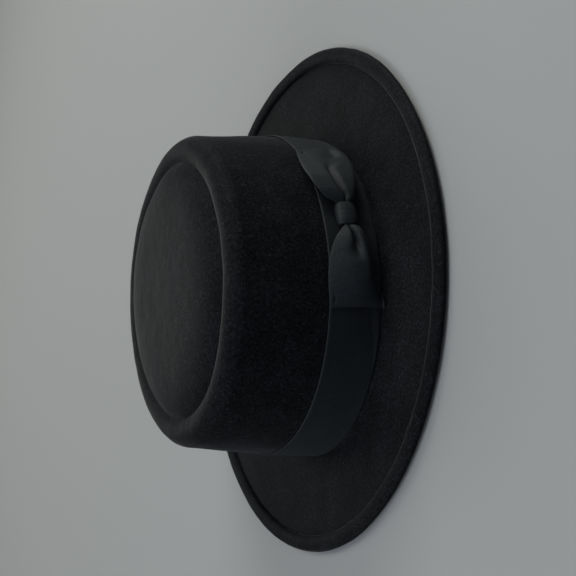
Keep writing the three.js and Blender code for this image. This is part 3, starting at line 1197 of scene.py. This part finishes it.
    def knot_ring(self, along: np.ndarray, inset: np.ndarray, turns: np.ndarray) -> np.ndarray:
        """Rings of the knot: superellipses drawn in by an inset, which lean back as they rise.

        At an angle t, a ring of squareness n reaches (|cos t|^n + |sin t|^n)^(-1/n) of its half
        height and its half depth.

        Args:
            along: Places along the band, a column.
            inset: How far each ring, or each of its points, is drawn in.
            turns: Angles round the knot from its foot, a row.

        Returns:
            Points, rings by angles by 3.
        """
        power = (np.abs(np.cos(turns)) ** self.knot_squareness
                 + np.abs(np.sin(turns)) ** self.knot_squareness)
        reach = (power ** (-1 / self.knot_squareness))[None, :]
        half_height = (self.knot_top - self.knot_bottom) / 2 - inset
        half_depth = self.knot_depth / 2 - inset
        middle = (self.knot_top + self.knot_bottom) / 2
        z = middle - half_height * reach * np.cos(turns)[None, :]
        off = self.gap + self.knot_depth / 2 + half_depth * reach * np.sin(turns)[None, :]
        off = off - self.knot_lean * (z - self.knot_bottom)
        place = np.broadcast_to(along, z.shape)
        return self.band.over(place, z, off)

    def knot(self) -> Shape:
        """The knot: a short ribbon wound round the strip, whose ribs lie along the band.

        Its face is drawn in towards both sides by the cube of the share from its middle, and
        a cosine along the band gives it shallow flutes.

        Returns:
            The knot's shape.
        """
        count = self.knot_ribs * self.weave.samples
        turns = np.arange(count) * FULL_TURN / count
        share = np.linspace(0, 1, self.knot_columns)[:, None]
        along = self.knot_from + (self.knot_to - self.knot_from) * share
        rib = self.weave.height / 2 * np.cos(FULL_TURN * np.arange(count) / self.weave.samples)
        tuck = self.knot_rounding * np.abs(2 * share - 1) ** 3
        flute = self.flute_depth * np.cos(FULL_TURN * self.flutes * share)
        outside = self.knot_ring(along, tuck - flute - rib[None, :], turns)
        inside = self.knot_ring(along, tuck + self.knot_wall, turns)
        grid = np.concatenate([outside, inside[::-1]])
        width = (self.knot_to - self.knot_from) * np.concatenate([share, share[::-1]])
        cloth = np.stack(np.broadcast_arrays(
            np.arange(count)[None, :] / self.weave.samples * self.weave.pitch, width), axis=-1)
        faces = grid_quads(len(grid), count, True, True)
        return Shape(grid.reshape(-1, 3), [faces], cloth.reshape(-1, 2))

    def build(self, ribbon: bpy.types.Material,
              thread: bpy.types.Material) -> list[bpy.types.Object]:
        """Makes the bow's pieces, dresses them and fixes them in place.

        Args:
            ribbon: The finish of the strip and of the knot.
            thread: The finish of the tack stitches.

        Returns:
            The strip, the knot and the stitches.
        """
        wings = self.strip().to_object("bow_wings", ribbon)
        fix_to_hat(wings, "bow_strip")
        knot = self.knot().to_object("bow_centre", ribbon)
        fix_to_hat(knot, "bow_knot")
        stitches = self.tack_stitches().to_object("tack_stitches", thread)
        fix_to_hat(stitches)
        return [wings, knot, stitches]


# ---------------------------------------------------------------- the studio

class Tint(Enum):
    """The tints of the lights, as linear red, green and blue."""

    PLAIN = (0.97, 1.0, 0.94)
    COOL = (0.9, 1.0, 1.2)


@dataclass(frozen=True)
class SoftBox:
    """A square soft light, aimed at the hat. Its power is in watts, and its sizes in metres."""

    name: str
    azimuth: float
    elevation: float
    power: float
    tint: Tint
    distance: float = 1.6
    size: float = 0.9

    def build(self, aim: Vector) -> bpy.types.Object:
        """Adds the light.

        Args:
            aim: The point that it faces, in metres.

        Returns:
            The light's object.
        """
        lamp = bpy.data.lights.new(self.name, "AREA")
        lamp.shape = "RECTANGLE"
        lamp.size = lamp.size_y = self.size
        lamp.energy, lamp.color = self.power, self.tint.value
        away = direction(self.azimuth, self.elevation)
        made = bpy.data.objects.new(self.name, lamp)
        made.matrix_world = (Matrix.Translation(aim + away * self.distance)
                             @ away.to_track_quat("Z", "Y").to_matrix().to_4x4())
        bpy.context.scene.collection.objects.link(made)
        return made


@dataclass
class Studio:
    """The floor, the soft lights, the pale surroundings and the camera.

    The camera's distance, target, lens and sensor are in millimetres, and the rest is in
    metres.
    """

    camera_azimuth: float = 44.8
    camera_elevation: float = 25.6
    camera_roll: float = -85.1
    camera_distance: float = 660.0
    camera_target: tuple[float, float, float] = (-1.0, 6.4, 12.5)
    lens: float = 68.4
    sensor: float = 36.0
    floor_half: float = 4.0
    floor_drop: float = 0.0003
    floor_colour: str = "#a8a8a8"
    floor_bounce_colour: str = "#6e7176"
    surround: float = 0.004
    surround_colour: tuple[float, float, float] = (0.9, 0.97, 1.1)
    backdrop: float = 0.85
    aim: tuple[float, float, float] = (0, 0, 0.04)
    boxes: tuple[SoftBox, ...] = (
        SoftBox("back_left", 145, 22, 15.0, Tint.PLAIN),
        SoftBox("behind", 225, 40, 7.5, Tint.PLAIN),
        SoftBox("back_right", 305, 22, 3.5, Tint.PLAIN),
        SoftBox("right", 345, 22, 3.0, Tint.PLAIN),
        SoftBox("left_high", 105, 58, 5.5, Tint.PLAIN),
        SoftBox("right_high", 345, 58, 4.5, Tint.COOL),
        SoftBox("front_high", 35, 58, 1.0, Tint.COOL),
        SoftBox("front_low", 38, 24, 1.2, Tint.COOL),
    )

    def build_floor(self) -> bpy.types.Object:
        """A plain pale sheet of matt paper, just under the hat.

        The light that it throws back up is dimmer than it looks, so that the hat's sides and
        its rolled edge stay as dark as black felt is.

        Returns:
            The floor.
        """
        half = self.floor_half
        corners = [(-half, -half, -self.floor_drop), (half, -half, -self.floor_drop),
                   (half, half, -self.floor_drop), (-half, half, -self.floor_drop)]
        mesh = bpy.data.meshes.new("studio_floor")
        mesh.from_pydata(corners, [], [(0, 1, 2, 3)])
        material, tree = empty_material("matt_backdrop_paper")
        seen = add_node(tree, "ShaderNodeLightPath").outputs["Is Camera Ray"]
        colour = add_node(tree, "ShaderNodeMix", {"data_type": "RGBA"}, {
            "Factor": seen, COLOUR_A: linear(self.floor_bounce_colour),
            COLOUR_B: linear(self.floor_colour)})
        shader = add_node(tree, "ShaderNodeBsdfDiffuse", {}, {
            "Color": colour.outputs[MIXED_COLOUR]})
        add_node(tree, "ShaderNodeOutputMaterial", {}, {"Surface": shader.outputs["BSDF"]})
        mesh.materials.append(material)
        floor = bpy.data.objects.new("studio_floor", mesh)
        bpy.context.scene.collection.objects.link(floor)
        return floor

    def build_surroundings(self) -> None:
        """A dim even light from all round, which the camera sees as pale as the floor."""
        world = bpy.data.worlds.new("studio_surround")
        world.use_nodes = True
        tree = world.node_tree
        tree.nodes.clear()
        seen = add_node(tree, "ShaderNodeLightPath").outputs["Is Camera Ray"]
        glow = add_node(tree, "ShaderNodeBackground", {}, {
            "Color": (*self.surround_colour, 1.0), "Strength": self.surround})
        pale = add_node(tree, "ShaderNodeBackground", {}, {
            "Color": (1.0, 1.0, 1.0, 1.0), "Strength": self.backdrop})
        mix = add_node(tree, "ShaderNodeMixShader", {}, {
            "Fac": seen, 1: glow.outputs["Background"], 2: pale.outputs["Background"]})
        add_node(tree, "ShaderNodeOutputWorld", {}, {"Surface": mix.outputs["Shader"]})
        bpy.context.scene.world = world

    def build_camera(self) -> bpy.types.Object:
        """The camera: it looks at the target from its azimuth and elevation.

        Its own right and up are the level right and its upright, both turned by the roll.

        Returns:
            The camera.
        """
        roll = math.radians(self.camera_roll)
        back = direction(self.camera_azimuth, self.camera_elevation)
        right = (-back).cross(Vector((0, 0, 1))).normalized()
        up = right.cross(-back)
        rolled_right = right * math.cos(roll) + up * math.sin(roll)
        rolled_up = up * math.cos(roll) - right * math.sin(roll)
        eye = (Vector(self.camera_target) + back * self.camera_distance) * MM
        lens = bpy.data.cameras.new("camera")
        lens.lens, lens.sensor_width = self.lens, self.sensor
        lens.clip_start, lens.clip_end = 0.01, 100.0
        camera = bpy.data.objects.new("camera", lens)
        axes = Matrix((rolled_right, rolled_up, back)).transposed().to_4x4()
        camera.matrix_world = Matrix.Translation(eye) @ axes
        bpy.context.scene.collection.objects.link(camera)
        bpy.context.scene.camera = camera
        return camera

    def build(self) -> None:
        """Builds the whole studio and shows tones as they are."""
        self.build_floor()
        self.build_surroundings()
        for box in self.boxes:
            box.build(Vector(self.aim))
        self.build_camera()
        view = bpy.context.scene.view_settings
        view.view_transform = "Standard"
        view.look = "None"


# ---------------------------------------------------------------- putting it together

def main() -> None:
    """Builds the hat and the studio."""
    logging.basicConfig(level=logging.INFO, format="%(name)s %(message)s")
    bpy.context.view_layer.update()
    ribbon = Grosgrain().build()
    hat = FeltHat()
    hat.build(WoolFelt().build())
    band = RibbonBand(hat)
    band.build(ribbon)
    Bow(band).build(ribbon, Thread().build())
    Studio().build()


if __name__ == "__main__":
    main()
